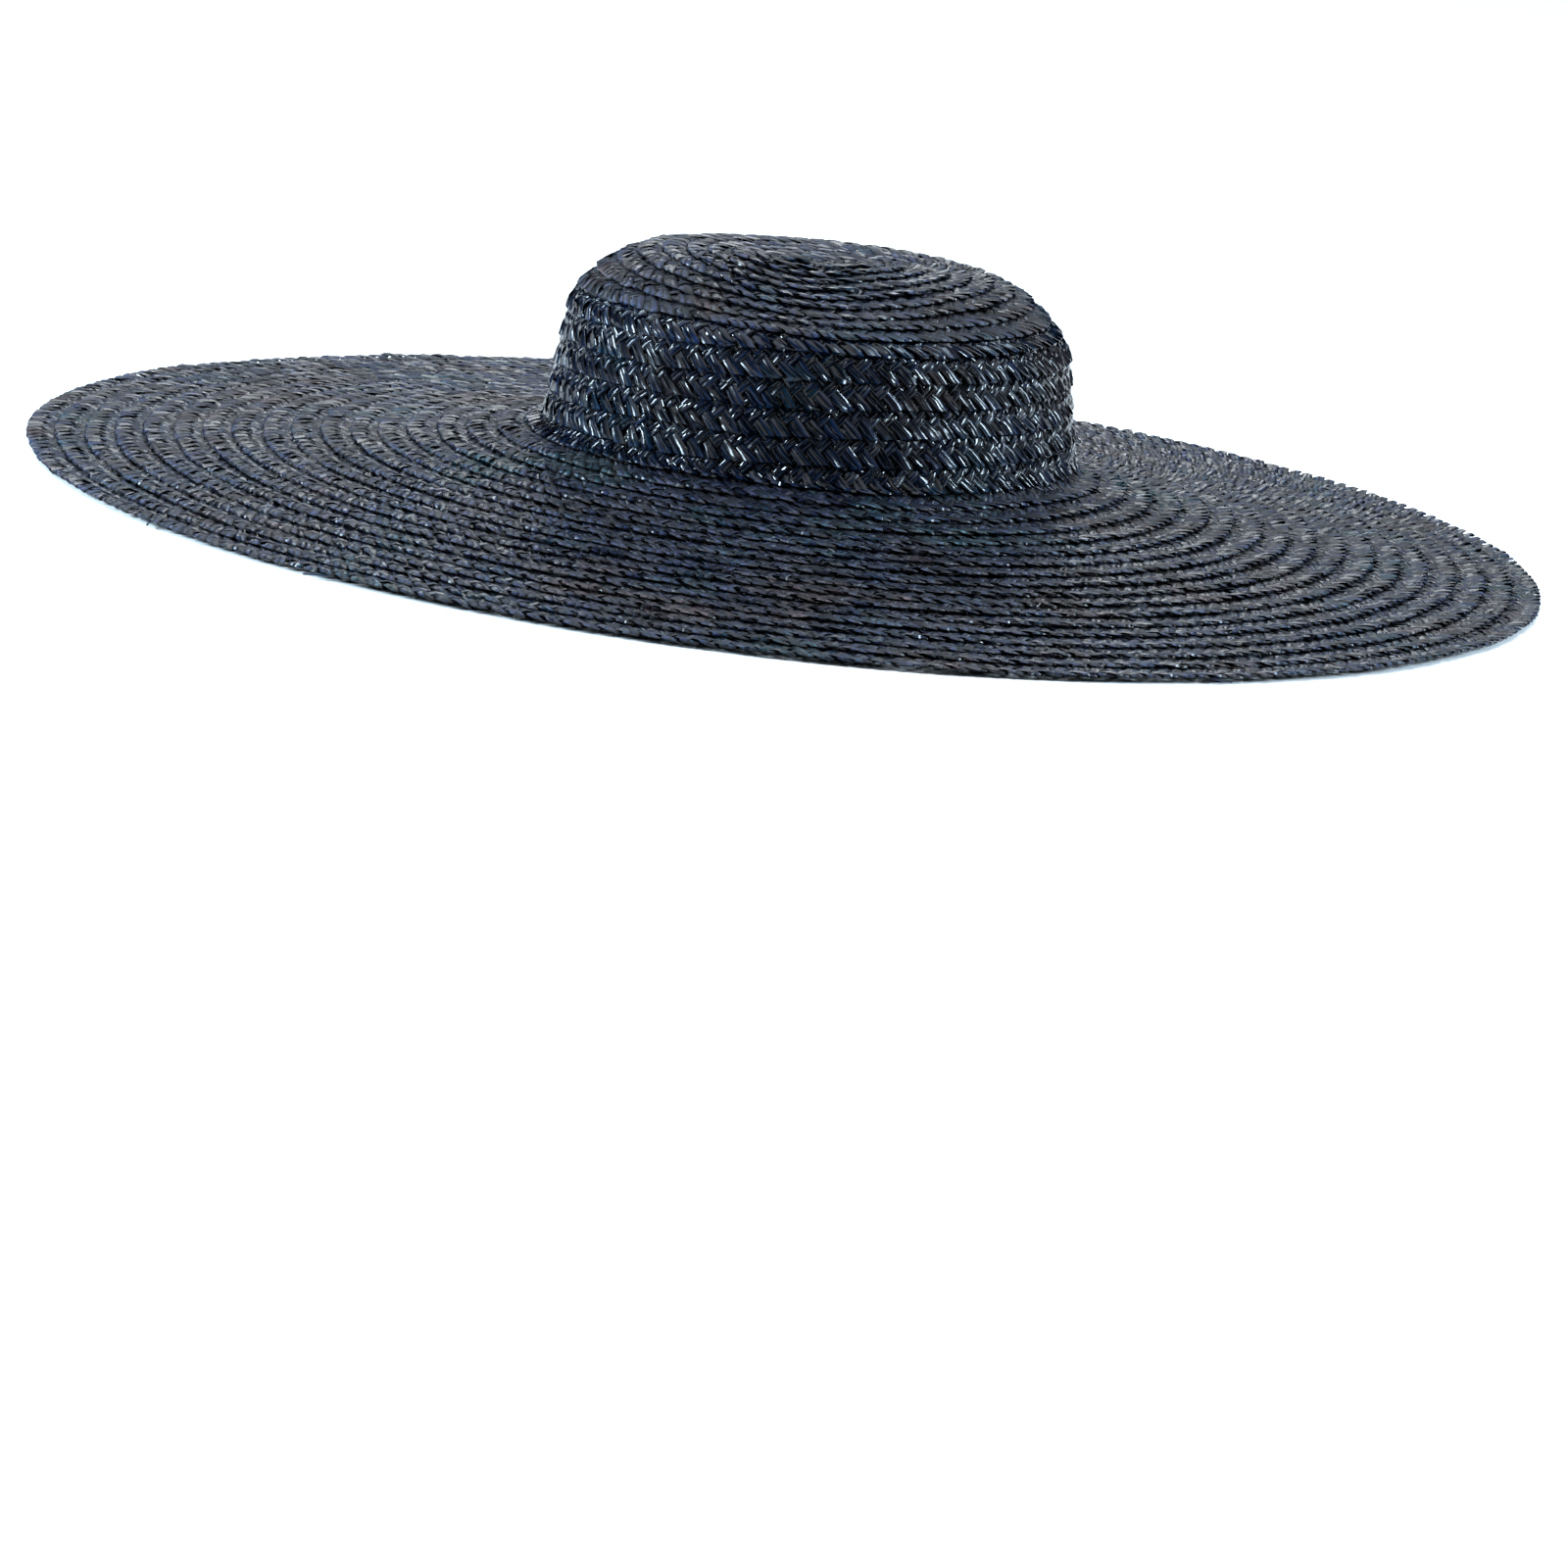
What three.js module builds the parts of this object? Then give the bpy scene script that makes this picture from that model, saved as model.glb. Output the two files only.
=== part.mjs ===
// A wide-brim hat of sewn straw plait: a domed crown tip, an upright crown side and a wide brim.
// Millimetres. The hat faces -Y and +Z is up. Its brim rests on z = 0, with the origin in the
// middle of the brim's length and width.

import * as THREE from 'three';

// The head opening, and one layer of plait
const headLength = 194;
const headWidth = 166;
const plaitThickness = 1.3;
const plaitLap = 3.3;
const pieceGap = 0.3;
const facets = 40;

// The brim: its width runs from the foot of the crown to the edge
const brimWidthFront = 181;
const brimWidthBack = 169;
const brimRows = 18;
const brimDrop = 22.7;
const edgeHeight = 0.5;
const turnOutShare = 0.27;
const turnOutReach = 0.13;

// The crown, from its foot to the top of the dome
const sideHeight = 44.9;
const sideSlope = 8.45;
const sideRows = 5;
const shoulderHeight = 5.2;
const shoulderInset = 4.5;
const domeHeight = 15;
const domeFullness = 10;
const domeSlackness = 1.3;
const slackSide = -35;
const domeRows = 9;
const crownLean = 3.4;
const crownFall = 3.4;

// Worked out from the sizes above
const wallDepth = 2 * plaitThickness;
const footLength = headLength / 2 + wallDepth;
const footWidth = headWidth / 2 + wallDepth;
const footHeight = brimDrop + edgeHeight;
const sideInset = sideHeight * Math.tan(THREE.MathUtils.degToRad(sideSlope));
const domeRadius = footWidth - sideInset - shoulderInset;
const crownHeight = sideHeight + shoulderHeight + domeHeight;
const crownCentre = (brimWidthFront - brimWidthBack) / 2;

const straw = {
  tip: new THREE.MeshStandardMaterial({ color: 0x2b3140, roughness: 0.55, metalness: 0 }),
  side: new THREE.MeshStandardMaterial({ color: 0x141926, roughness: 0.3, metalness: 0 }),
  brim: new THREE.MeshStandardMaterial({ color: 0x2e3442, roughness: 0.6, metalness: 0 }),
};

// A section is drawn in two numbers: how far a point lies outside the oval of the crown's foot,
// and its height. These four helpers step about in it.
function along(point, direction, distance) {
  return [point[0] + direction[0] * distance, point[1] + direction[1] * distance];
}

function heading(from, to) {
  const step = [to[0] - from[0], to[1] - from[1]];
  const length = Math.hypot(step[0], step[1]);
  return [step[0] / length, step[1] / length];
}

function outwardOf(direction) {
  return [-direction[1], direction[0]];
}

function mix(from, to, share) {
  return [from[0] + (to[0] - from[0]) * share, from[1] + (to[1] - from[1]) * share];
}

// Rows of plait lap like shingles: each starts on the row line and rises to stand one plait
// above it at its outer edge, over the start of the next row. Given the stops of the rows,
// this gives the outer face's corners and the inner face's, both from the first row to the last.
function lapRows(stops) {
  const outer = [];
  const inner = [];
  for (let row = 0; row < stops.length - 1; row += 1) {
    const valley = stops[row];
    const up = outwardOf(heading(valley, stops[row + 1]));
    const crest = along(stops[row + 1], up, plaitThickness);
    const course = heading(valley, crest);
    const inward = outwardOf(course).map((value) => -value);
    outer.push(valley, crest);
    for (const corner of [valley, crest]) {
      inner.push(along(along(corner, inward, plaitThickness), course, -plaitLap));
    }
  }
  return { outer, inner };
}

// A section corner turned to its place round the hat. Every row is an oval that lies the same
// way outside the foot's oval all round. As the crown rises, it leans forward a little, and its
// back stands lower than its front.
function place([outside, height], angle) {
  const rise = Math.max(0, (height - footHeight) / crownHeight);
  const back = (footLength + outside) * Math.sin(angle);
  return [
    (footWidth + outside) * Math.cos(angle),
    back + crownCentre - crownLean * rise,
    height - (crownFall / 2) * rise * (back / footLength),
  ];
}

// A closed shell swept round the hat. sectionAt gives the section at an angle, its outer face
// from the last row to the first and then its inner face back. With a pole, the two middle
// corners lie on the crown's centre line and each is one point.
function sweepRound(name, material, sectionAt, pole) {
  const corners = [];
  const faces = [];
  const count = sectionAt(0).length;
  const poles = pole ? [count / 2 - 1, count / 2] : [];
  for (let turn = 0; turn < facets; turn += 1) {
    const angle = (2 * Math.PI * turn) / facets;
    sectionAt(angle).forEach((corner, index) => {
      const [x, y, z] = place(corner, angle);
      corners.push(...(poles.includes(index) ? [0, place(corner, 0)[1], z] : [x, y, z]));
    });
  }
  const vertex = (turn, index) => (poles.includes(index) ? index : (turn % facets) * count + index);
  for (let turn = 0; turn < facets; turn += 1) {
    for (let index = 0; index < count; index += 1) {
      const next = (index + 1) % count;
      const [a, b] = [vertex(turn, index), vertex(turn + 1, index)];
      const [c, d] = [vertex(turn + 1, next), vertex(turn, next)];
      if (a !== b) faces.push(a, b, c);
      if (c !== d) faces.push(a, c, d);
    }
  }
  const geometry = new THREE.BufferGeometry();
  geometry.setAttribute('position', new THREE.Float32BufferAttribute(corners, 3));
  geometry.setIndex(faces);
  geometry.computeVertexNormals();
  const mesh = new THREE.Mesh(geometry, material);
  mesh.name = name;
  return mesh;
}

// Equal steps along a curve given as a function of a share from 0 to 1
function equalStops(curve, rows) {
  const fineSteps = rows * 40;
  const rounding = 1e-9;
  const path = Array.from({ length: fineSteps + 1 }, (_, step) => curve(step / fineSteps));
  const travelled = [0];
  for (let step = 1; step < path.length; step += 1) {
    const [before, here] = [path[step - 1], path[step]];
    travelled.push(travelled[step - 1] + Math.hypot(here[0] - before[0], here[1] - before[1]));
  }
  const whole = travelled[travelled.length - 1];
  return Array.from({ length: rows + 1 }, (_, row) => {
    const step = travelled.findIndex((distance) => distance >= (whole * row) / rows - rounding);
    return path[step];
  });
}

// The crown side: it stands on the brim's first row, and each row laps over the one below
const sideTop = [-sideInset, footHeight + sideHeight];
const sideFoot = [0, footHeight + pieceGap];
const sideDown = heading(sideTop, sideFoot);

function sideSection() {
  const start = along(sideTop, sideDown, pieceGap);
  const stops = Array.from({ length: sideRows + 1 }, (_, row) => mix(start, sideFoot, row / sideRows));
  const { outer, inner } = lapRows(stops);
  outer[outer.length - 1] = [plaitThickness, sideFoot[1]];
  inner[0] = along(start, outwardOf(sideDown), -plaitThickness);
  inner[inner.length - 1] = [-plaitThickness, sideFoot[1]];
  return [...outer.reverse(), ...inner];
}

// The crown tip: rows round the dome, and one more that turns down over the shoulder. The dome
// is full, and flat on top, at its far side, and slopes down slackly towards the slack side.
function domeLine(share, angle) {
  const slack = (1 + Math.cos(angle - THREE.MathUtils.degToRad(slackSide))) / 2;
  const power = domeFullness + (domeSlackness - domeFullness) * slack;
  return [share * domeRadius - footWidth, sideTop[1] + shoulderHeight + domeHeight * (1 - share ** power)];
}

function tipSection(angle) {
  const domeStops = equalStops((share) => domeLine(share, angle), domeRows);
  const { outer, inner } = lapRows([...domeStops, sideTop]);
  inner[0] = along(outer[0], [0, -1], plaitThickness);
  inner[inner.length - 1] = along(sideTop, outwardOf(sideDown), -plaitThickness);
  return [...outer.reverse(), ...inner];
}

// The brim: it turns out from the crown's foot in a short curve, then falls gently to its edge
function brimWidthAt(angle) {
  return (brimWidthFront + brimWidthBack) / 2 - ((brimWidthFront - brimWidthBack) / 2) * Math.sin(angle);
}

function brimLine(share, width) {
  const turnOut = (1 - Math.exp(-share / turnOutReach)) / (1 - Math.exp(-1 / turnOutReach));
  const fall = turnOutShare * turnOut + (1 - turnOutShare) * share;
  return [share * width, footHeight - brimDrop * fall];
}

function brimSection(angle) {
  const width = brimWidthAt(angle);
  const stops = Array.from({ length: brimRows + 1 }, (_, row) => brimLine(row / brimRows, width));
  const { outer, inner } = lapRows(stops);
  const mouth = [-wallDepth, footHeight];
  outer[0] = mouth;
  inner[0] = along(mouth, [0, -1], plaitThickness);
  // The last row is level underneath, so that the hat rests on a flat ring
  inner[inner.length - 2] = [stops[brimRows - 1][0] - plaitLap, 0];
  inner[inner.length - 1] = [width, 0];
  outer[outer.length - 1] = [width, stops[brimRows][1] + plaitThickness];
  return [...outer.reverse(), ...inner];
}

const hat = new THREE.Group();
hat.add(
  sweepRound('crown_tip', straw.tip, tipSection, true),
  sweepRound('crown_side', straw.side, sideSection, false),
  sweepRound('brim', straw.brim, brimSection, false),
);

export default hat;
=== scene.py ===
# %% [markdown]
# A wide-brim straw hat. The real one is a single long plait of dyed, flattened straw, sewn to
# itself row on row: it starts in the middle of the crown, turns down over the shoulder, runs
# down the side and then out across the brim. The solids give the shape. This notebook lays the
# plait itself along that shape, straw over straw.

# %% The frame and the tools
import math

import bpy
import numpy as np
from mathutils import Matrix, Vector


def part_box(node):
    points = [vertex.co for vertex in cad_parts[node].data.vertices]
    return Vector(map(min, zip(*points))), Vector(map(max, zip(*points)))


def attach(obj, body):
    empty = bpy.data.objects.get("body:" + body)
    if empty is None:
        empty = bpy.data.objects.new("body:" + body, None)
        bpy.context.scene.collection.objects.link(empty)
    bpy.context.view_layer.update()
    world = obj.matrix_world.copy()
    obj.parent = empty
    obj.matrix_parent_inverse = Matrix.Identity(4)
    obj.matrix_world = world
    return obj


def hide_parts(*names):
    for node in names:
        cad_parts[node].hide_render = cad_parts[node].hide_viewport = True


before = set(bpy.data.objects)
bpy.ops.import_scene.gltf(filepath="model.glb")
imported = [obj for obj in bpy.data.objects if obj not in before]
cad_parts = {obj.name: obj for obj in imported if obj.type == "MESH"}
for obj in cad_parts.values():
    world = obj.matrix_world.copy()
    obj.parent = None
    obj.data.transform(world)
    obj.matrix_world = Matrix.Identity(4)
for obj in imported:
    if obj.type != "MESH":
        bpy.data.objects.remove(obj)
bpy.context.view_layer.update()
MM = 0.001

# %% [markdown]
# The straw has to lie exactly where the solids are, so the sizes are read off their boxes: the
# oval at the foot of the crown, the height of that foot, and how wide the brim is in front and
# behind. The thickness of one layer of plait is written here, because a box can't give it.

# %% Sizes from the solids
PLAIT_STEP = 1.3 * MM
side_low, side_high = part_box("crown_side")
brim_low, brim_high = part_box("brim")

crown_centre = (side_low.y + side_high.y) / 2
foot_width = side_high.x - PLAIT_STEP
foot_length = (side_high.y - side_low.y) / 2 - PLAIT_STEP
foot_height = brim_high.z
brim_front = crown_centre - foot_length - brim_low.y
brim_back = brim_high.y - crown_centre - foot_length
print("half of the crown's foot:", round(foot_length / MM, 1), "by", round(foot_width / MM, 1), "mm")
print("brim", round(brim_front / MM, 1), "mm in front and", round(brim_back / MM, 1), "mm behind")

# %% [markdown]
# The camera is set before the making, so that every step can be looked at from the photograph's
# angle. It stands to the front left of the hat, a little above the brim. It is turned towards
# its subject and not shifted, because a shifted lens would push the hat aside in other views.

# %% The camera
VIEW_AZIMUTH = math.radians(55)
VIEW_ELEVATION = math.radians(9.8)
VIEW_ROLL = math.radians(7.15)
VIEW_DISTANCE = 2.0
IMAGE_SIZE = 1600
PIXELS_PER_METRE = 2850
FOOT_PIXEL = (828, 451)
SENSOR = 36

focal_pixels = PIXELS_PER_METRE * VIEW_DISTANCE
subject = Vector((0, crown_centre, foot_height))
backwards = Vector((
    math.sin(VIEW_AZIMUTH) * math.cos(VIEW_ELEVATION),
    -math.cos(VIEW_AZIMUTH) * math.cos(VIEW_ELEVATION),
    math.sin(VIEW_ELEVATION),
))
level = Vector((math.cos(VIEW_AZIMUTH), math.sin(VIEW_AZIMUTH), 0))
upwards = backwards.cross(level)
right = level * math.cos(VIEW_ROLL) + upwards * math.sin(VIEW_ROLL)
square_on = Matrix((right, backwards.cross(right), backwards)).transposed()
middle = IMAGE_SIZE / 2
to_subject = Vector((FOOT_PIXEL[0] - middle, middle - FOOT_PIXEL[1], -focal_pixels))
turn = (square_on @ to_subject).rotation_difference(-backwards)

bpy.ops.object.camera_add(location=subject + backwards * VIEW_DISTANCE)
camera = bpy.context.object
camera.name = "photo_camera"
camera.rotation_euler = (turn.to_matrix() @ square_on).to_euler()
camera.data.sensor_width = SENSOR
camera.data.lens = SENSOR * focal_pixels / IMAGE_SIZE
bpy.context.scene.camera = camera
print("lens", round(camera.data.lens, 1), "mm at", VIEW_DISTANCE, "m")

# %% [markdown]
# Each row lies on one smooth line that runs from the middle of the crown to the brim's edge. It
# is the line that the solids follow, with their heights and slopes written here again: a dome
# that is full on one side and slack on the other, a short shoulder, a nearly upright side, and
# a brim that turns out quickly and then falls gently. Distance along it is measured from the
# crown's foot, inwards and up as a minus, outwards as a plus.

# %% The line from the crown's middle to the brim's edge
SIDE_HEIGHT = 44.9 * MM
SIDE_SLOPE = math.radians(8.45)
SHOULDER_HEIGHT = 5.2 * MM
SHOULDER_INSET = 4.5 * MM
DOME_HEIGHT = 15 * MM
DOME_FULLNESS = 10
DOME_SLACKNESS = 1.3
SLACK_SIDE = math.radians(-35)
CROWN_LEAN = 3.4 * MM
CROWN_FALL = 3.4 * MM
EDGE_HEIGHT = 1.1 * MM
TURN_OUT_SHARE = 0.27
TURN_OUT_REACH = 0.13
FINE = 0.25 * MM
PAST_MIDDLE = 12 * MM
DOME_STEPS = 600

side_inset = SIDE_HEIGHT * math.tan(SIDE_SLOPE)
dome_radius = foot_width - side_inset - SHOULDER_INSET
crown_height = SIDE_HEIGHT + SHOULDER_HEIGHT + DOME_HEIGHT


def crown_line(angle):
    """Distance, outward offset and height from past the crown's middle down to its foot."""
    slack = (1 + math.cos(angle - SLACK_SIDE)) / 2
    power = DOME_FULLNESS + (DOME_SLACKNESS - DOME_FULLNESS) * slack
    radius = np.linspace(-PAST_MIDDLE, dome_radius, DOME_STEPS)
    dome = DOME_HEIGHT * (1 - np.maximum(radius / dome_radius, 0) ** power)
    offset = np.concatenate([radius - foot_width, [-side_inset, 0]])
    height = np.concatenate([dome + SHOULDER_HEIGHT + SIDE_HEIGHT, [SIDE_HEIGHT, 0]])
    distance = np.concatenate([[0], np.cumsum(np.hypot(np.diff(offset), np.diff(height)))])
    return distance - distance[-1], offset, height + foot_height


def middle_at(angle):
    """How far along the line the crown's middle lies at an angle round the hat."""
    distance, offset, _ = crown_line(angle)
    return np.interp(-foot_width, offset[:DOME_STEPS], distance[:DOME_STEPS])


def brim_width(angle):
    """The brim's width at an angle round the hat, widest in front."""
    return (brim_front + brim_back) / 2 - (brim_front - brim_back) / 2 * np.sin(angle)


def brim_z(share):
    """The height of the row line at a share of the brim's width."""
    turn_out = (1 - np.exp(-share / TURN_OUT_REACH)) / (1 - math.exp(-1 / TURN_OUT_REACH))
    fall = TURN_OUT_SHARE * turn_out + (1 - TURN_OUT_SHARE) * share
    return foot_height - (foot_height - EDGE_HEIGHT) * fall


# %% [markdown]
# Real straw doesn't turn a corner as sharply as the solids do, so the line is smoothed over a few
# millimetres. It is kept as a table, for each degree round the hat and each quarter millimetre
# along, so that many thousands of points can be looked up at once.

# %% The smoothed line as a table
SOFTNESS = 1.6 * MM
WINDOW_REACH = 4
TABLE_PAST_MIDDLE = 9 * MM
TABLE_END = 190 * MM
QUARTERS = [0, 90, 180, 270]

table_angles = np.radians(np.arange(361))
middle_distances = np.array([middle_at(angle) for angle in table_angles])
table_distance = np.arange(middle_distances.min() - TABLE_PAST_MIDDLE, TABLE_END, FINE)
print("from the foot to the crown's middle", (-middle_distances[QUARTERS] / MM).round(1), "mm")


def smooth(values):
    """Values along the line, averaged over a soft window; both ends carry on straight."""
    reach = int(WINDOW_REACH * SOFTNESS / FINE)
    window = np.exp(-0.5 * (np.arange(-reach, reach + 1) * FINE / SOFTNESS) ** 2)
    before = values[0] + (values[1] - values[0]) * np.arange(-reach, 0)
    after = values[-1] + (values[-1] - values[-2]) * np.arange(1, reach + 1)
    return np.convolve(np.concatenate([before, values, after]), window / window.sum(), "valid")


def table_row(angle):
    """Offset and height along the whole line at one angle."""
    out = table_distance > 0
    share = table_distance[out] / brim_width(angle)
    crown_distance, crown_offset, crown_height_there = crown_line(angle)
    offset = np.interp(table_distance, crown_distance, crown_offset)
    height = np.interp(table_distance, crown_distance, crown_height_there)
    offset[out] = table_distance[out]
    height[out] = brim_z(share)
    return smooth(offset), smooth(height)


rows_of_table = [table_row(angle) for angle in table_angles]
line_offset = np.array([row[0] for row in rows_of_table])
line_height = np.array([row[1] for row in rows_of_table])
line_out = np.gradient(line_offset, FINE, axis=1)
line_up = np.gradient(line_height, FINE, axis=1)
print("table of the line:", line_offset.shape[0], "angles,", line_offset.shape[1], "distances")

# %% [markdown]
# Two helpers use the table. One reads a value between its entries. The other turns an angle, a
# distance along the line and a height off it into a point of the hat, with the crown's lean.

# %% From the line to points of the hat
JUST_BEFORE_END = 1.001


def look_up(table, angle, distance):
    """A value between the table's angles and distances."""
    across = np.mod(np.degrees(angle), 360)
    along = np.clip((distance - table_distance[0]) / FINE, 0, len(table_distance) - JUST_BEFORE_END)
    a, d = across.astype(int), along.astype(int)
    fa, fd = across - a, along - d
    near = table[a, d] * (1 - fd) + table[a, d + 1] * fd
    far = table[a + 1, d] * (1 - fd) + table[a + 1, d + 1] * fd
    return near * (1 - fa) + far * fa


def on_hat(angle, distance, lift):
    """Points of the hat: an angle round it, a distance along the line, and a height off it."""
    out = look_up(line_out, angle, distance)
    up = look_up(line_up, angle, distance)
    length = np.hypot(out, up)
    offset = look_up(line_offset, angle, distance) - lift * up / length
    height = look_up(line_height, angle, distance) + lift * out / length
    rise = np.maximum(0, (height - foot_height) / crown_height)
    back = (foot_length + offset) * np.sin(angle)
    return np.stack([
        (foot_width + offset) * np.cos(angle),
        back + crown_centre - CROWN_LEAN * rise,
        height - CROWN_FALL / 2 * rise * back / foot_length,
    ], axis=-1)


# %% [markdown]
# The plait runs in a spiral, so it shifts out by one row in each turn round the hat. The crown's
# rows were placed where the photo shows them: nine and a half across the top, half a row for
# the shoulder, five down the side, and the next one lies on the brim. These rows also hang a
# little lower on the left of the camera than on the right. Across the brim the photo shows
# seventeen rows on one side and eighteen on the other, which is what a spiral does. The plait
# starts in the crown's middle, and its end is tucked under at the back.

# %% The spiral
START_ROW = 0.7
START_ANGLE = -math.pi / 2
TURNS = 32.3
TUCK = math.radians(25)
RIM_ROW = 9.5
RIM_DISTANCE = -52.2 * MM
SIDE_ROWS = [10.5, 11.5, 12.5, 13.5, 14.5, 15.5]
SIDE_DISTANCES = [-45.7 * MM, -36.4 * MM, -27.0 * MM, -17.3 * MM, -7.6 * MM, 1.8 * MM]
HANG = 2.9 * MM
HANG_LEVEL = math.radians(-28)
FOOT_ROW = 15
BRIM_ROWS = 17
EXTRA_ROW = 1

end_angle = START_ANGLE - 2 * math.pi * TURNS


def turned_since_end(angle):
    """How far round from the plait's end an angle lies, the way that the plait runs."""
    return np.mod(end_angle - angle, 2 * math.pi)


def rows_across_brim(angle):
    """The spiral adds a row in a turn, and the tuck at its end takes it away again."""
    turned = turned_since_end(angle)
    free = 2 * math.pi - TUCK
    share = np.where(turned < free, turned / free, (2 * math.pi - turned) / TUCK)
    return BRIM_ROWS + EXTRA_ROW * share


def unclamped_distance(row, angle):
    """How far along the line a row's outer edge would lie if the brim had no edge."""
    middle = np.interp(np.mod(angle, 2 * math.pi), table_angles, middle_distances)
    hang = -HANG * np.sin(angle - HANG_LEVEL)
    rim = RIM_DISTANCE + np.minimum(0, hang)
    top = middle + (rim - middle) * row / RIM_ROW
    below = np.interp(row, [RIM_ROW, *SIDE_ROWS], [0, *SIDE_DISTANCES]) + hang
    first = rim + (SIDE_DISTANCES[0] + hang - rim) * (row - RIM_ROW) / (SIDE_ROWS[0] - RIM_ROW)
    last = SIDE_DISTANCES[-1] + hang / 2
    pitch = (brim_width(angle) - last) / (rows_across_brim(angle) + FOOT_ROW - SIDE_ROWS[-1])
    brim = last + (row - SIDE_ROWS[-1]) * pitch
    turn_out = np.clip(row - SIDE_ROWS[-2], 0, 1)
    side = below - turn_out * hang / 2
    parts = [row < RIM_ROW, row < SIDE_ROWS[0], row < SIDE_ROWS[-1]]
    return np.select(parts, [top, first, side], brim)


def distance_of_row(row, angle):
    """How far along the line a row's outer edge lies."""
    return np.minimum(unclamped_distance(row, angle), brim_width(angle))


def row_at(turned):
    """The number of the row, and the share of it, after so much turning from the start."""
    return START_ROW + turned / (2 * math.pi)


print("the plait turns", TURNS, "times round the hat")

# %% [markdown]
# A plait doesn't stretch, so its straws have to be spaced by length and not by angle. The middle
# of the plait is followed round the hat in half degrees, and the length is added up.

# %% Length along the spiral
HALF_WIDTH = 6.8 * MM
LEAD_IN = 60
ANGLE_STEP = 0.5

fine_turned = np.radians(np.arange(-LEAD_IN, 360 * TURNS, ANGLE_STEP))
fine_angle = START_ANGLE - fine_turned
centre_distance = distance_of_row(row_at(fine_turned), fine_angle) - HALF_WIDTH
centre_points = on_hat(fine_angle, centre_distance, np.zeros_like(fine_angle))
centre_steps = np.linalg.norm(np.diff(centre_points, axis=0), axis=1)
fine_length = np.concatenate([[0], np.cumsum(centre_steps)])
print("the plait is", round(fine_length[-1], 2), "m long")

# %% [markdown]
# The plait has four straws. Each one runs slantwise from edge to edge, over and under the
# others, folds over at the edge and comes back. All four take the same path, one cell apart, so
# one straw is modelled over one full zigzag, and the rest are copies. It is drawn out from a
# flat four-cornered ring, which is extruded from station to station and turned over at a fold.

# %% One straw
CELL = 6.0 * MM
STRAW_WIDTH = 5.5 * MM
STRAW_THICKNESS = 0.8 * MM
STRAW_LIFT = 0.5 * MM
FOLD_REACH = 0.3 * MM
FOLD_SLANT = 0.34 * MM
ZIGZAG = 4 * CELL

# Each station: share of the half width, and height as a share of the lift
PASS_OVER = [
    (1, 0.62), (0.75, 0.85), (0.5, 1), (0.25, 0), (0, -1),
    (-0.25, 0), (-0.5, 1), (-0.75, 0.85), (-1, 0.62),
]
STATIONS_IN_ZIGZAG = 2 * (len(PASS_OVER) + 1)
RING = 4


def straw_stations():
    """The ring's centre at each station of a zigzag, and whether it is turned on edge there."""
    stations = []
    for way, start in ((1, 0), (-1, 0.5)):
        for across, height in PASS_OVER:
            x = (start + (1 - across) / 4) * ZIGZAG
            stations.append((x, way * across * HALF_WIDTH, way * height * STRAW_LIFT, False))
        edge = -way * (HALF_WIDTH + FOLD_REACH)
        stations.append(((start + 0.5) * ZIGZAG, edge, 0, True))
    x, y, z, _ = stations[0]
    return [*stations, (x + ZIGZAG, y, z, False)]


def turn_ring(centre):
    """Turns the ring that is selected by a quarter, on its own centre."""
    bpy.ops.transform.rotate(value=math.radians(-90), orient_axis="X", center_override=centre)


bpy.ops.object.select_all(action="DESELECT")
bpy.ops.mesh.primitive_circle_add(
    vertices=RING, radius=0.5, fill_type="NOTHING", rotation=(math.radians(90), 0, 0),
)
straw = bpy.context.object
straw.name = "one_straw"
bpy.ops.object.transform_apply(rotation=True)
bpy.ops.object.mode_set(mode="EDIT")
bpy.ops.transform.resize(value=(STRAW_WIDTH, 1, STRAW_THICKNESS))
stations = straw_stations()
bpy.ops.transform.translate(value=stations[0][:3])
for here, there in zip(stations, stations[1:]):
    step = [b - a for a, b in zip(here[:3], there[:3])]
    bpy.ops.mesh.extrude_region_move(TRANSFORM_OT_translate={"value": step})
    if here[3] or there[3]:
        turn_ring(there[:3])
bpy.ops.object.mode_set(mode="OBJECT")
print("one straw:", len(straw.data.vertices), "corners,", len(straw.data.polygons), "faces")

# %% [markdown]
# A straw that goes over and under slanted neighbours doesn't rise and sink squarely. Its
# leading edge is already where its middle will be one station later, and its trailing edge is
# where the middle was one station before. The straw also gets its own map here: one direction
# runs across it and the other runs along it, so that the fibres can follow every fold.

# %% Twist and map of the straw
TOP, LEADING, UNDER, TRAILING = 0, 3, 2, 1

heights = np.array([station[2] for station in stations])
folded = np.array([station[3] for station in stations])
corners = np.array([vertex.co for vertex in straw.data.vertices]).reshape(len(stations), RING, 3)
for place in range(len(stations)):
    before, after = (place - 1) % STATIONS_IN_ZIGZAG, (place + 1) % STATIONS_IN_ZIGZAG
    if folded[place] or folded[before] or folded[after]:
        way = np.sign(corners[place, TOP, 1])
        corners[place, LEADING, 2] += way * FOLD_SLANT
        corners[place, TRAILING, 2] -= way * FOLD_SLANT
        continue
    corners[place, LEADING, 2] += heights[after] - heights[place]
    corners[place, TRAILING, 2] += heights[before] - heights[place]
straw.data.vertices.foreach_set("co", corners.astype(np.float32).ravel())

station_number = straw.data.attributes.new("station", "INT", "POINT")
corner_number = straw.data.attributes.new("corner", "INT", "POINT")
vertex_numbers = np.arange(len(straw.data.vertices))
station_number.data.foreach_set("value", vertex_numbers // RING)
corner_number.data.foreach_set("value", vertex_numbers % RING)
straw.data.attributes.new("strand", "INT", "POINT")

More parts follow.
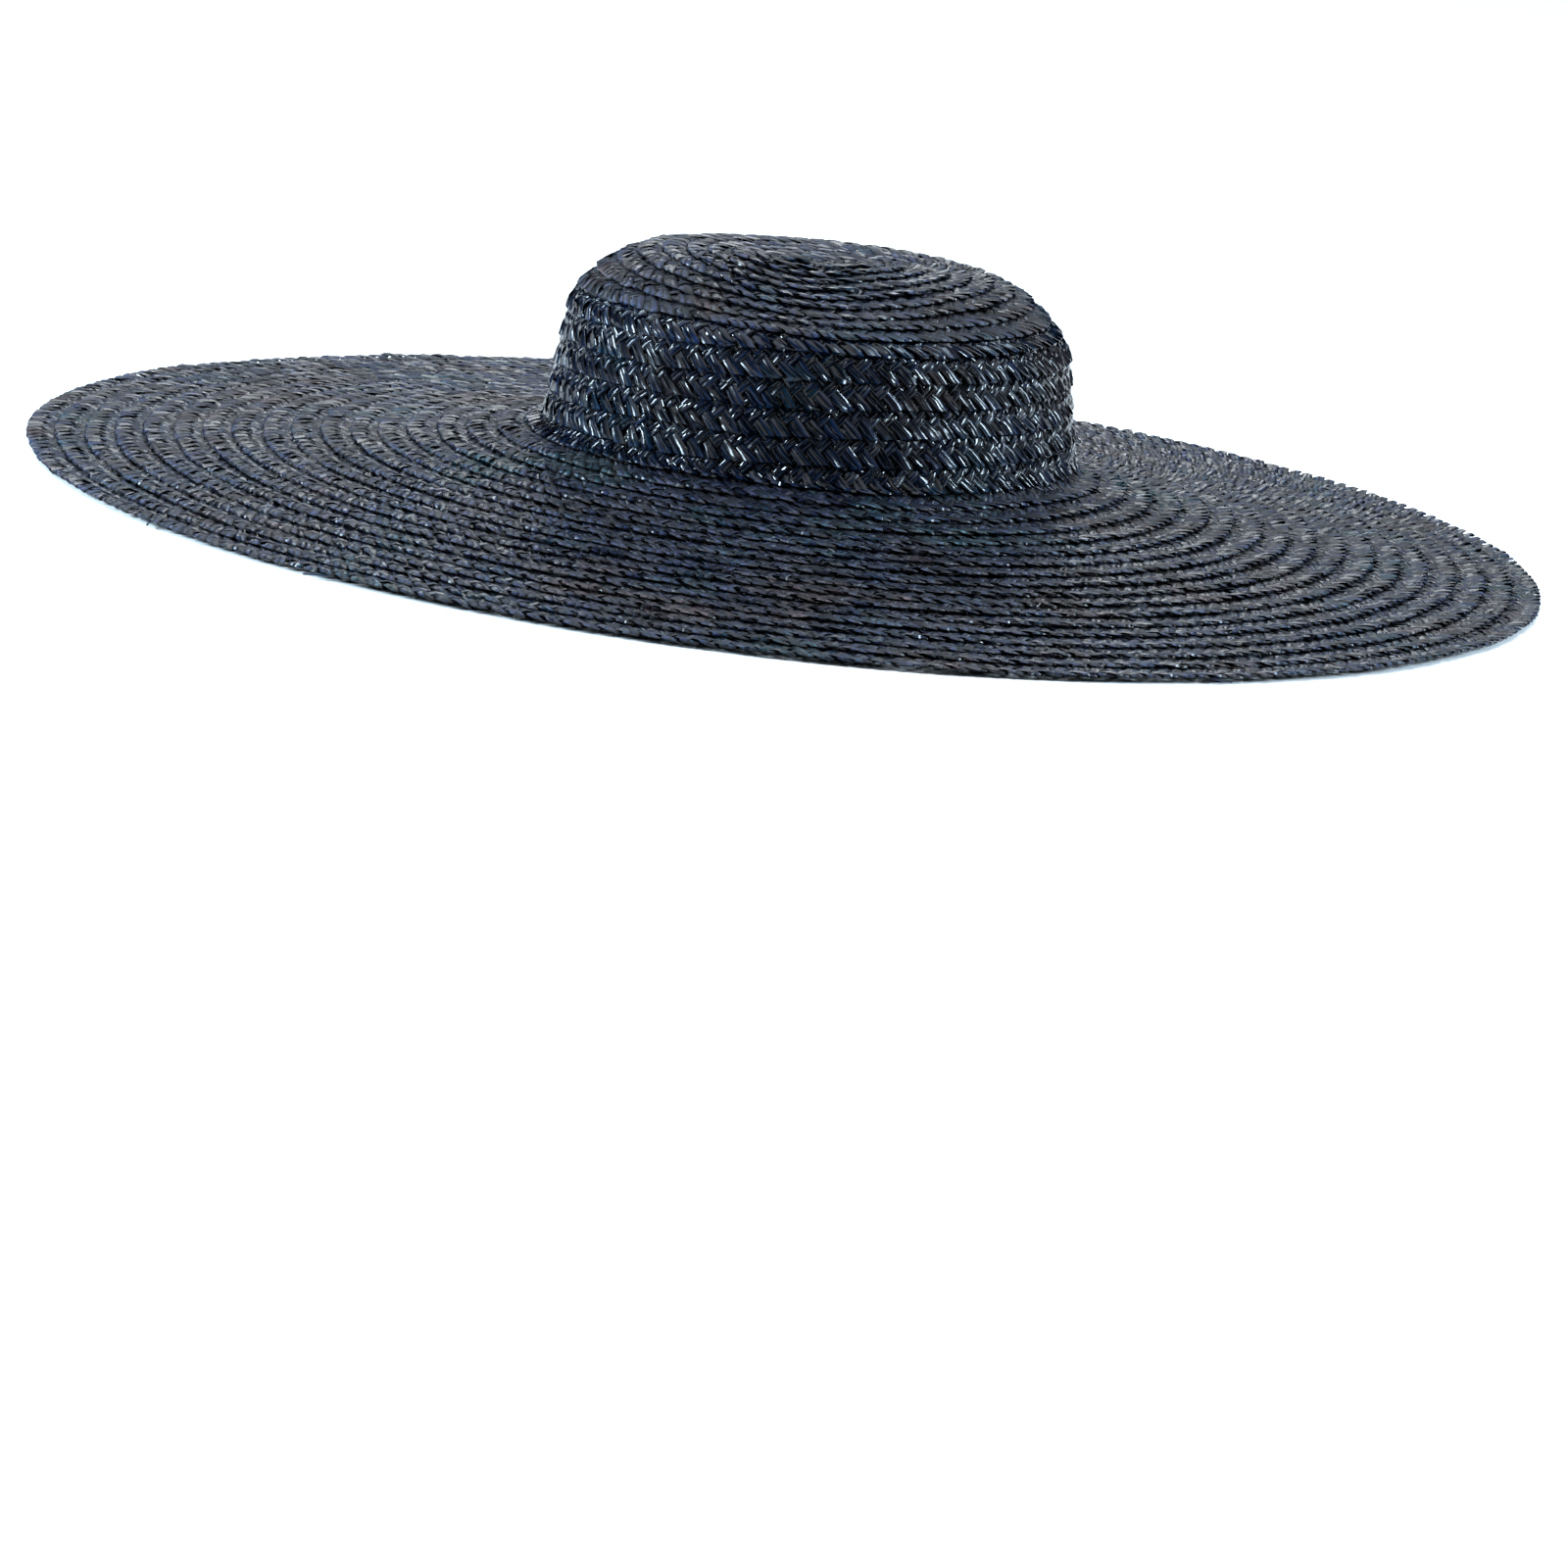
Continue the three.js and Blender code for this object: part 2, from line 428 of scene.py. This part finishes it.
across_map = {TOP: 0.5, LEADING: 1.0, UNDER: 0.5, TRAILING: 0.0}
straw_map = straw.data.uv_layers.new(name="straw")
for loop in straw.data.loops:
    station, corner = divmod(loop.vertex_index, RING)
    straw_map.data[loop.index].uv = (across_map[corner], station / STATIONS_IN_ZIGZAG)
print("map of the straw:", len(straw_map.data), "face corners")

# %% [markdown]
# Now the straws are repeated. One straw becomes a long zigzag through an array, and four such
# zigzags side by side are a stretch of straight plait. The map grows with each copy, so no two
# places on the plait share the same streak. The open ends are closed.

# %% Straight plait
STRAWS = 4
MERGE = 0.02 * MM
STRAND_STEP = 10


def straight_plait(name, blocks, first_block):
    """A stretch of straight, flat plait that begins at X = 0."""
    strands = []
    for number in range(STRAWS):
        bpy.ops.object.select_all(action="DESELECT")
        straw.select_set(True)
        bpy.context.view_layer.objects.active = straw
        bpy.ops.object.duplicate()
        strand = bpy.context.object
        array = strand.modifiers.new("along", "ARRAY")
        array.count = blocks
        array.use_relative_offset = False
        array.use_constant_offset = True
        array.constant_offset_displace = (ZIGZAG, 0, 0)
        array.use_merge_vertices = True
        array.merge_threshold = MERGE
        array.offset_v = 1
        bpy.ops.object.modifier_apply(modifier="along")
        strand.data.attributes["strand"].data.foreach_set(
            "value", np.full(len(strand.data.vertices), number, np.int32)
        )
        bpy.ops.object.mode_set(mode="EDIT")
        bpy.ops.mesh.select_all(action="SELECT")
        bpy.ops.mesh.fill_holes(sides=RING)
        bpy.ops.object.mode_set(mode="OBJECT")
        layer = strand.data.uv_layers["straw"]
        values = np.zeros(len(layer.data) * 2, np.float32)
        layer.data.foreach_get("uv", values)
        values[0::2] += number * STRAND_STEP
        values[1::2] += first_block
        layer.data.foreach_set("uv", values)
        strands.append(strand)
    bpy.ops.object.select_all(action="DESELECT")
    for strand in strands:
        strand.select_set(True)
    bpy.context.view_layer.objects.active = strands[0]
    bpy.ops.object.join()
    plait = bpy.context.object
    plait.name = plait.data.name = name
    bpy.ops.object.mode_set(mode="EDIT")
    bpy.ops.mesh.select_all(action="SELECT")
    bpy.ops.mesh.normals_make_consistent(inside=False)
    bpy.ops.object.mode_set(mode="OBJECT")
    return plait


# %% [markdown]
# No two crossings of a hand-made plait are alike. Each straw rises, leans, narrows and strays a
# little on its way, and the whole row wavers a little too. The chances are drawn once for the
# whole plait, so that two stretches still meet exactly.

# %% Unevenness
SPARE_ZIGZAGS = 3
SEED = 11
chance = np.random.default_rng(SEED)
all_stations = STATIONS_IN_ZIGZAG * (int(fine_length[-1] / ZIGZAG) + SPARE_ZIGZAGS)


def soft_chance(reach):
    """Random values for each straw and station, even over a reach of stations."""
    window = np.hanning(2 * reach + 1)
    drawn = chance.normal(size=(STRAWS, all_stations + 2 * reach))
    soft = np.array([np.convolve(row, window, "valid") for row in drawn])
    return soft / np.sqrt((window ** 2).sum())


rise = 0.09 * MM * soft_chance(2)
lean = 0.2 * MM * soft_chance(3)
stray_along = 0.3 * MM * soft_chance(3)
stray_out = 0.22 * MM * soft_chance(1)
breadth = 1 + 0.07 * soft_chance(4)
fatness = 1 + 0.16 * soft_chance(3)

WAVER_STEP = 28 * MM
SPARE_WAVERS = 5
waver_stops = np.arange(0, fine_length[-1] + SPARE_WAVERS * WAVER_STEP, WAVER_STEP)
waver_out = 0.3 * MM * chance.normal(size=len(waver_stops))
waver_up = 0.16 * MM * chance.normal(size=len(waver_stops))
print("chances for", all_stations, "stations of each straw, and", len(waver_stops), "wavers")

# %% [markdown]
# The numbers of the station, the corner and the straw were written on the corners before they
# were copied. They say which chance belongs to which corner of the long plait.

# %% Using the chances
def read_numbers(plait, name):
    """Whole numbers that are written on a plait's corners."""
    values = np.zeros(len(plait.data.vertices), np.int32)
    plait.data.attributes[name].data.foreach_get("value", values)
    return values


def write_numbers(plait, name, values):
    """Writes a number on each of a plait's corners, for its material to read."""
    attribute = plait.data.attributes.new(name, "FLOAT", "POINT")
    attribute.data.foreach_set("value", values.astype(np.float32))


def uneven(plait, points, first_block):
    """Moves the corners of a straight plait by the chances that were drawn for their stations."""
    names = ("station", "corner", "strand")
    station, corner, strand = [read_numbers(plait, name) for name in names]
    spots = np.array([s[:3] for s in stations])
    half = STRAW_WIDTH / 2
    side = np.select([corner == LEADING, corner == TRAILING], [1.0, -1.0], 0.0)
    block = np.round((points[:, 0] - spots[station, 0] - side * half) / ZIGZAG).astype(int)
    number = station + STATIONS_IN_ZIGZAG * (block + first_block)
    centre = spots[station].copy()
    centre[:, 0] += block * ZIGZAG
    around = points - centre
    around[:, 0] *= breadth[strand, number]
    bulge = (corner == TOP) | (corner == UNDER)
    around[bulge] *= fatness[strand, number][bulge, None]
    centre[:, 0] += stray_along[strand, number] + strand * CELL
    centre[:, 1] += stray_out[strand, number] * np.abs(centre[:, 1]) / HALF_WIDTH
    centre[:, 2] += rise[strand, number]
    around[:, 2] += side * lean[strand, number]
    return centre + around


# %% [markdown]
# The straight plait is then laid along the spiral. Its outer edge rests on the next row and is
# raised by one layer; its inner edge is under the row before. That lap is what makes the ridge
# round each row and the shadow along it. Three numbers are written on each corner, and the
# material paints light and shade from them: how high it shows in the weave, for painted shade
# there; how clear it is of the row that laps over it, for a painted shadow in the crease; and
# how near it is to the plait's outer edge, for a painted highlight.

# %% Laying the plait
# How far the painted shadow in the crease and the painted highlight at the outer edge reach, and the
# span of painted shade in the weave
PAINTED_SHADOW_REACH = 1.8 * MM
PAINTED_HIGHLIGHT_REACH = 1.6 * MM
PAINTED_SHADE_SPAN = 2.2 * STRAW_LIFT
RAISE_POWER = 6
LEAST_HEIGHT = 0.03 * MM
LEAST_PITCH = 6 * MM
BRIM_PITCH = brim_front / BRIM_ROWS


def lay(plait, first_block):
    """Bends a straight plait onto the hat, from so many zigzags after the spiral's start."""
    count = len(plait.data.vertices)
    flat = np.zeros(count * 3, np.float32)
    plait.data.vertices.foreach_get("co", flat)
    x, y, z = uneven(plait, flat.reshape(count, 3).astype(float), first_block).T
    along = x + first_block * ZIGZAG
    turned = np.interp(along, fine_length, fine_turned)
    angle = START_ANGLE - turned
    row = row_at(turned)
    outer = distance_of_row(row, angle)
    pitch = outer - distance_of_row(row - 1, angle)
    pitch = np.maximum(pitch, LEAST_PITCH)
    inwards = HALF_WIDTH - y + np.interp(along, waver_stops, waver_out)
    lift = PLAIT_STEP * (0.5 - inwards / pitch) + z + np.interp(along, waver_stops, waver_up)
    wide = brim_width(angle)
    tucked = np.clip((unclamped_distance(row, angle) - wide) / BRIM_PITCH, 0, 1)
    last_row = np.full_like(row, FOOT_ROW + BRIM_ROWS + EXTRA_ROW)
    raised = np.clip((unclamped_distance(last_row, angle) - wide) / BRIM_PITCH, 0, 1)
    raised *= np.clip(outer / wide, 0, 1) ** RAISE_POWER
    placed = on_hat(angle, outer - inwards, lift + PLAIT_STEP * (raised - tucked))
    placed[:, 2] = np.maximum(placed[:, 2], LEAST_HEIGHT)
    # The material paints shade, a shadow and a highlight from these three numbers; they are not the
    # straw's own colour.
    write_numbers(plait, "height_for_painted_shade", np.clip(0.5 + z / PAINTED_SHADE_SPAN, 0, 1))
    write_numbers(plait, "clear_of_painted_shadow", np.clip((pitch - inwards) / PAINTED_SHADOW_REACH, 0, 1))
    write_numbers(plait, "rim", np.clip(1 - inwards / PAINTED_HIGHLIGHT_REACH, 0, 1))
    plait.data.vertices.foreach_set("co", placed.astype(np.float32).ravel())
    plait.data.update()


# %% [markdown]
# The plait is laid in six stretches, so that each one stays a mesh of a handy size. A stretch
# ends after a whole number of zigzags, and the next one begins there, so no seam shows. The
# first takes the place of the crown's top, the second of its side, and the rest of the brim.

# %% The six stretches
SHARP = math.radians(40)
SHORT_OF_END = 0.01


def add_stretch(name, first_block, end_block, node):
    """One stretch of the plait, as a piece of its own that takes the place of a solid."""
    plait = straight_plait(name, end_block - first_block, first_block)
    lay(plait, first_block)
    bpy.ops.object.select_all(action="DESELECT")
    plait.select_set(True)
    bpy.context.view_layer.objects.active = plait
    bpy.ops.object.shade_smooth_by_angle(angle=SHARP)
    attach(plait, "root")
    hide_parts(node)
    print(name, "has", 2 * len(plait.data.polygons), "triangles")
    return plait


def block_at(row):
    """The number of whole zigzags from the start to a row."""
    length = np.interp((row - START_ROW) * 2 * math.pi, fine_turned, fine_length)
    return round(length / ZIGZAG)


# Each piece: the row where it ends, the solid that it takes the place of, and its material
SEAMS = {
    "crown_tip_plait": (10.05, "crown_tip", "straw_tip"),
    "crown_side_plait": (16.05, "crown_side", "straw_side"),
    "brim_plait_1": (21.05, "brim", "straw_brim"),
    "brim_plait_2": (25.05, "brim", "straw_brim"),
    "brim_plait_3": (29.05, "brim", "straw_brim"),
    "brim_plait_4": (START_ROW + TURNS - SHORT_OF_END, "brim", "straw_brim"),
}
plait_pieces = []
first_block = 0
for name, (end_row, node, slot) in SEAMS.items():
    end_block = block_at(end_row)
    plait_pieces.append(add_stretch(name, first_block, end_block, node))
    first_block = end_block
bpy.data.objects.remove(straw)

# %% [markdown]
# Three straw ends have worked loose at the edge of the brim and stick out by a few millimetres.
# They are placed at the angles where the photo shows them. An end is a thin cone without its
# point, a shape that a few faces can give.

# %% Loose ends
# Each end: its angle round the hat, and how far it leans to the side, in degrees
LOOSE_ENDS = {276.5: 50, 293.5: -40, 357: 35}
END_SIDES = 6
END_LENGTH = 11 * MM
END_THICKNESS = 0.6 * MM
END_LIFT = 0.5 * MM
TIP_SHARE = 0.5

loose_ends = []
for degrees, lean_degrees in LOOSE_ENDS.items():
    angle = math.radians(degrees)
    edge = on_hat(np.array([angle]), np.array([brim_width(angle)]), np.array([END_LIFT]))[0]
    heading = Vector((1, 0, 0))
    heading.rotate(Matrix.Rotation(angle + math.radians(lean_degrees), 3, "Z"))
    bpy.ops.mesh.primitive_cone_add(
        vertices=END_SIDES, radius1=END_THICKNESS, radius2=END_THICKNESS * TIP_SHARE, depth=END_LENGTH,
        location=Vector(edge), rotation=heading.to_track_quat("Z", "Y").to_euler(),
    )
    loose_ends.append(bpy.context.object)
bpy.ops.object.select_all(action="DESELECT")
for end in loose_ends:
    end.select_set(True)
bpy.context.view_layer.objects.active = loose_ends[0]
bpy.ops.object.join()
ends = bpy.context.object
bpy.ops.object.transform_apply(location=True, rotation=True, scale=True)
ends.name = ends.data.name = "loose_straw_ends"
ends.data.uv_layers[0].name = "straw"
# The loose ends get no painted shade or shadow, and the full painted highlight of the outer edge.
for name in ("height_for_painted_shade", "clear_of_painted_shadow", "rim"):
    write_numbers(ends, name, np.ones(len(ends.data.vertices)))
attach(ends, "root")
print("loose ends:", len(ends.data.polygons), "faces")

# %% [markdown]
# The colour of the straw and the light of the sky are both worked out by arithmetic in shader
# nodes. Each node has to be added, set and linked, so helpers bring that down to one line.

# %% Helpers for shader nodes
def add_node(tree, kind, **settings):
    """A new shader node with its settings."""
    node = tree.nodes.new("ShaderNode" + kind)
    for name, value in settings.items():
        setattr(node, name, value)
    return node


def plug(tree, values, sockets):
    """Links outputs to sockets, or sets the sockets to plain values, in order."""
    for value, socket in zip(values, sockets):
        if isinstance(value, bpy.types.NodeSocket):
            tree.links.new(value, socket)
        else:
            socket.default_value = value


def calculate(tree, operation, first, second=0.0):
    """One step of arithmetic with two numbers, or with one."""
    node = add_node(tree, "Math", operation=operation)
    plug(tree, (first, second), node.inputs)
    return node.outputs[0]


def vectors(tree, operation, first, second):
    """One step of arithmetic with two vectors or colours."""
    node = add_node(tree, "VectorMath", operation=operation)
    plug(tree, (first, second), node.inputs)
    return node.outputs[0]


def scaled(tree, vector, scale):
    """A vector or colour, made larger or smaller."""
    node = add_node(tree, "VectorMath", operation="SCALE")
    plug(tree, (vector, scale), (node.inputs[0], node.inputs["Scale"]))
    return node.outputs[0]


def remap(tree, value, low_in, high_in, low_out, high_out):
    """A soft change from one value to another, while the input passes from low to high."""
    node = add_node(tree, "MapRange", interpolation_type="SMOOTHSTEP")
    plug(tree, (value, low_in, high_in, low_out, high_out), node.inputs)
    return node.outputs[0]


def split(tree, vector):
    """The three numbers of a vector or colour."""
    node = add_node(tree, "SeparateXYZ")
    plug(tree, [vector], node.inputs)
    return node.outputs


def noise(tree, vector, scale, detail=3.0):
    """Soft random values in space."""
    node = add_node(tree, "TexNoise")
    sockets = [node.inputs[name] for name in ("Vector", "Scale", "Detail")]
    plug(tree, (vector, scale, detail), sockets)
    return node.outputs[0]


def number_at(tree, name):
    """A number that is written on the plait's corners."""
    return add_node(tree, "Attribute", attribute_name=name).outputs["Fac"]


# %% [markdown]
# A straw shows as short facets, where it comes up between its neighbours. Here it also has two
# soft ribs, as from a crease down its middle. No two facets take the light alike, and that is
# the sparkle of a straw hat. So each rib of each facet gets three random numbers of its own.
# The straw's map tells which facet a point is on.

# %% The facets
FACETS_IN_ZIGZAG = 4
FACET_START = 0.2
RIBS = 2
# More than the number of straws, so that no two ribs get the same number
RIB_CODE = STRAWS + 1


def facet_chance(tree, along, ribs, strand):
    """Three random numbers, as a colour, that are the same all over one rib of one facet."""
    facet = calculate(tree, "ADD", calculate(tree, "MULTIPLY", along, FACETS_IN_ZIGZAG), FACET_START)
    rib = calculate(tree, "MULTIPLY", calculate(tree, "FLOOR", ribs), RIB_CODE)
    code = add_node(tree, "CombineXYZ")
    plug(tree, (calculate(tree, "ADD", rib, strand), calculate(tree, "FLOOR", facet)), code.inputs)
    chance_node = add_node(tree, "TexWhiteNoise", noise_dimensions="2D")
    plug(tree, [code.outputs[0]], [chance_node.inputs["Vector"]])
    return chance_node.outputs["Color"]


# %% [markdown]
# Dyed straw is nearly black in itself. The colour drifts over the hat in patches, from brown
# through slate to navy and teal, and each facet is a little off its patch. Streaks run along the
# fibres. On top of that, light and shade are painted in: painted shade between the ribs and deep
# in the weave, a painted shadow in the crease where the next row laps over it, and a painted
# highlight along the plait's outer edge. Shadow and highlight run aslant over each straw, so that
# a row is scalloped and not ruled.

# %% Colour of the straw, with painted shade, shadow and highlight
DYE_STOPS = (0.32, 0.42, 0.56, 0.68)
PATCH_SCALE = 26.0
FACET_SHADE = 0.12
SCALLOP = 0.8
# Each tone: where its change begins and ends, and how light the straw is before and after
FACET_TONE = (0.0, 1.0, 0.35, 1.7)
STREAK_TONE = (0.3, 0.7, 0.4, 1.6)
# Painted shade at the ribs' edges and deep in the weave, a painted shadow in the crease and a painted
# highlight at the outer edge:
RIB_EDGE_PAINTED_SHADE = (0.24, 0.48, 1.0, 0.15)
DEPTH_PAINTED_SHADE = (0.35, 0.8, 0.2, 1.0)
CREASE_PAINTED_SHADOW = (0.1, 0.9, 0.2, 1.0)
RIM_PAINTED_HIGHLIGHT = (0.1, 0.8, 1.0, 2.2)


def dye(tree, dyes, shade):
    """The colour that the dye gave, before any light or dark."""
    patch = noise(tree, add_node(tree, "TexCoord").outputs["Object"], PATCH_SCALE)
    off = calculate(tree, "MULTIPLY", calculate(tree, "SUBTRACT", shade, 0.5), FACET_SHADE)
    ramp = add_node(tree, "ValToRGB")
    while len(ramp.color_ramp.elements) < len(dyes):
        ramp.color_ramp.elements.new(0.5)
    for element, position, colour in zip(ramp.color_ramp.elements, DYE_STOPS, dyes):
        element.position = position
        element.color = (*colour, 1)
    plug(tree, [calculate(tree, "ADD", patch, off)], ramp.inputs)
    return ramp.outputs[0]


def lightness(tree, tone, streaks, from_middle, across):
    """How light the dye is at a point, with painted shade, shadow and highlight."""
    slant = calculate(tree, "MULTIPLY", calculate(tree, "SUBTRACT", across, 0.5), SCALLOP)
    clear = calculate(tree, "ADD", number_at(tree, "clear_of_painted_shadow"), slant)
    rim = calculate(tree, "SUBTRACT", number_at(tree, "rim"), slant)
    # The facet tone and the streaks are the straw's own; the other shares paint shade at the ribs'
    # edges and deep in the weave, a shadow in the crease and a highlight along the outer edge.
    light = remap(tree, tone, *FACET_TONE)
    for share in (
        remap(tree, streaks, *STREAK_TONE),
        remap(tree, from_middle, *RIB_EDGE_PAINTED_SHADE),
        remap(tree, number_at(tree, "height_for_painted_shade"), *DEPTH_PAINTED_SHADE),
        remap(tree, clear, *CREASE_PAINTED_SHADOW),
        remap(tree, rim, *RIM_PAINTED_HIGHLIGHT),
    ):
        light = calculate(tree, "MULTIPLY", light, share)
    return light


# %% [markdown]
# The fine relief is bump, because ribs and fibres of a tenth of a millimetre would take millions
# of faces. The shading also leans another way on every facet, because no straw lies quite flat.

# %% Relief of the straw
FIBRE_RELIEF = 0.35


def relief(tree, facet, streaks, from_middle, tilt, bulge):
    """The shading direction: leaning facets, round ribs and fibres along them."""
    surface = add_node(tree, "NewGeometry").outputs["Normal"]
    lean_of_facet = scaled(tree, vectors(tree, "SUBTRACT", facet, (0.5, 0.5, 0.5)), tilt)
    offside = calculate(tree, "MULTIPLY", from_middle, 2.0)
    roundness = calculate(tree, "SUBTRACT", 1.0, calculate(tree, "MULTIPLY", offside, offside))
    fibres = calculate(tree, "MULTIPLY", streaks, FIBRE_RELIEF)
    bump = add_node(tree, "Bump")
    sockets = [bump.inputs[name] for name in ("Strength", "Distance", "Height", "Normal")]
    height = calculate(tree, "ADD", roundness, fibres)
    plug(tree, (1.0, bulge, height, vectors(tree, "ADD", surface, lean_of_facet)), sockets)
    return bump.outputs[0]


# %% [markdown]
# The three parts of the hat get one straw material each. The crown's side shines much more than
# the rest, so it has a finish of its own. Its dyes are also darker, and that is painted shade: the
# upright side takes less light than the top and the brim.

# %% Straw materials
STREAK_SCALE = 4.0
GLOSS_RANGE = (0.2, 0.8)
DYES = (
    (0.021, 0.014, 0.016), (0.009, 0.010, 0.017), (0.006, 0.009, 0.023), (0.005, 0.015, 0.021),
)
# Darker copies of the dyes for the crown's side: painted shade.
SIDE_DYES_WITH_PAINTED_SHADE = (
    (0.008, 0.006, 0.008), (0.003, 0.005, 0.010), (0.002, 0.005, 0.015), (0.002, 0.007, 0.013),
)
# Each finish: dyes, roughness where glossy and where matt, shine, tilt of facets, height of ribs
SATIN = (DYES, (0.25, 0.6), 0.25, 0.4, 0.25 * MM)
GLOSSY_WITH_PAINTED_SHADE = (SIDE_DYES_WITH_PAINTED_SHADE, (0.1, 0.26), 0.24, 0.65, 0.3 * MM)


def straw_material(name, dyes, roughness, shine, tilt, bulge):
    """Dyed straw, in one of the finishes."""
    material = bpy.data.materials.new(name)
    material.use_nodes = True
    tree = material.node_tree
    straw_uv = add_node(tree, "UVMap", uv_map="straw").outputs[0]
    crosswise, along, _ = split(tree, straw_uv)
    across = calculate(tree, "MODULO", crosswise, float(STRAND_STEP))
    strand = calculate(tree, "FLOOR", calculate(tree, "DIVIDE", crosswise, float(STRAND_STEP)))
    ribs = calculate(tree, "MULTIPLY", across, RIBS)
    rib_share = calculate(tree, "FRACT", ribs)
    from_middle = calculate(tree, "ABSOLUTE", calculate(tree, "SUBTRACT", rib_share, 0.5))
    facet = facet_chance(tree, along, ribs, strand)
    tone, shade, polish = split(tree, facet)
    streaks = noise(tree, straw_uv, STREAK_SCALE)

    light = lightness(tree, tone, streaks, from_middle, across)
    gloss = calculate(tree, "MULTIPLY", calculate(tree, "ADD", streaks, polish), 0.5)
    values = {
        "Base Color": scaled(tree, dye(tree, dyes, shade), light),
        "Roughness": remap(tree, gloss, *GLOSS_RANGE, *roughness),
        "Specular IOR Level": shine,
        "Normal": relief(tree, facet, streaks, from_middle, tilt, bulge),
    }
    shader = tree.nodes["Principled BSDF"]
    plug(tree, values.values(), [shader.inputs[socket] for socket in values])
    return material


MATERIALS = {
    "straw_tip": straw_material("straw_tip", *SATIN),
    "straw_side": straw_material("straw_side", *GLOSSY_WITH_PAINTED_SHADE),
    "straw_brim": straw_material("straw_brim", *SATIN),
}
for piece, (_, _, slot) in zip(plait_pieces, SEAMS.values()):
    piece.data.materials.clear()
    piece.data.materials.append(MATERIALS[slot])
ends.data.materials.append(MATERIALS["straw_brim"])
print("materials:", ", ".join(MATERIALS))

# %% [markdown]
# The hat should be the only dark thing in the picture, on even white. One very large pale floor
# gives that. It doesn't glow, because light from below would leak through the weave.

# %% Floor
FLOOR_SIZE = 60
FLOOR_PALENESS = 0.9
FLOOR_ROUGHNESS = 0.9

bpy.ops.mesh.primitive_plane_add(size=FLOOR_SIZE, location=(0, 0, 0))
floor = bpy.context.object
floor.name = "pale_floor"
pale = bpy.data.materials.new("pale_floor")
pale.use_nodes = True
pale_inputs = pale.node_tree.nodes["Principled BSDF"].inputs
pale_inputs["Base Color"].default_value = (FLOOR_PALENESS, FLOOR_PALENESS, FLOOR_PALENESS, 1)
pale_inputs["Roughness"].default_value = FLOOR_ROUGHNESS
floor.data.materials.append(pale)
print("floor", FLOOR_SIZE, "m square")

# %% [markdown]
# The light is that of a studio. A bright patch overhead lights the floor, and a faint one at each
# side of the camera is mirrored in the crown. Near the horizon the sky is dark, so that straw
# seen at a grazing angle keeps its contrast.

# %% Sky
SKY_COLOUR = (0.9, 0.95, 1.0, 1)
SIDE_GLOW = 0.4
TOP_GLOW = 2.7
# Where each patch begins and is full, as a share of straight to the side or straight up
SIDE_RANGE = (0.3, 0.8)
HORIZON_RANGE = (0.08, 0.35)
TOP_RANGE = (0.6, 0.95)

world = bpy.context.scene.world or bpy.data.worlds.new("air")
bpy.context.scene.world = world
world.use_nodes = True
sky = world.node_tree
direction = add_node(sky, "TexCoord").outputs["Generated"]
up_share = split(sky, direction)[2]
sideways = add_node(sky, "VectorMath", operation="DOT_PRODUCT")
plug(sky, (direction, level), sideways.inputs)
side_share = sideways.outputs["Value"]
squared = calculate(sky, "MULTIPLY", side_share, side_share)
beside = remap(sky, squared, *SIDE_RANGE, 0, SIDE_GLOW)
above = remap(sky, up_share, *HORIZON_RANGE, 0, 1)
overhead = remap(sky, up_share, *TOP_RANGE, 0, TOP_GLOW)
glow = calculate(sky, "ADD", calculate(sky, "MULTIPLY", beside, above), overhead)
plug(sky, (SKY_COLOUR, glow), sky.nodes["Background"].inputs)
print("sky:", len(sky.nodes), "nodes")

# %% [markdown]
# A low, soft sun behind the hat grazes the brim and gives each row its bright and its dark side.
# A small cool light at each side gives the crown its glints, and one more behind each end of the
# brim is very weak. The camera's own side stays dark.

# %% Lights
COOL = (0.66, 0.85, 1.0)
# Each light: degrees round from the camera, degrees up, distance, width, height and power
SOFTBOXES = {
    "left": (-72, 20, 1.9, 0.35, 0.5, 80),
    "right": (93, 20, 1.9, 0.35, 0.5, 50),
    "left_end": (-130, 45, 1.0, 0.3, 0.3, 3),
    "right_end": (130, 45, 1.0, 0.3, 0.3, 3),
}
SUN_ROUND = 180
SUN_UP = 21
SUN_SPREAD = math.radians(18)
SUN_POWER = 0.33
SUN_COLOUR = (0.88, 0.95, 1.0)


def towards(degrees_round, degrees_up):
    """The direction from the crown to a light, so far round from the camera and so far up."""
    around, up = VIEW_AZIMUTH + math.radians(degrees_round), math.radians(degrees_up)
    flat = math.cos(up)
    return Vector((math.sin(around) * flat, -math.cos(around) * flat, math.sin(up)))


def softbox(name, degrees_round, degrees_up, distance, width, height, power):
    """A cool, broad light that faces the crown."""
    away = towards(degrees_round, degrees_up)
    bpy.ops.object.light_add(type="AREA", location=subject + away * distance)
    light = bpy.context.object
    light.name = name
    light.data.shape = "RECTANGLE"
    light.data.size = width
    light.data.size_y = height
    light.data.energy = power
    light.data.color = COOL
    light.rotation_euler = (-away).to_track_quat("-Z", "Y").to_euler()


for name, settings in SOFTBOXES.items():
    softbox(name, *settings)

bpy.ops.object.light_add(type="SUN")
sun = bpy.context.object
sun.name = "low_sun_behind"
sun.rotation_euler = (-towards(SUN_ROUND, SUN_UP)).to_track_quat("-Z", "Y").to_euler()
sun.data.angle = SUN_SPREAD
sun.data.energy = SUN_POWER
sun.data.color = SUN_COLOUR

scene = bpy.context.scene
scene.view_settings.view_transform = "Standard"
scene.view_settings.look = "None"
print("lights:", len(SOFTBOXES) + 1)
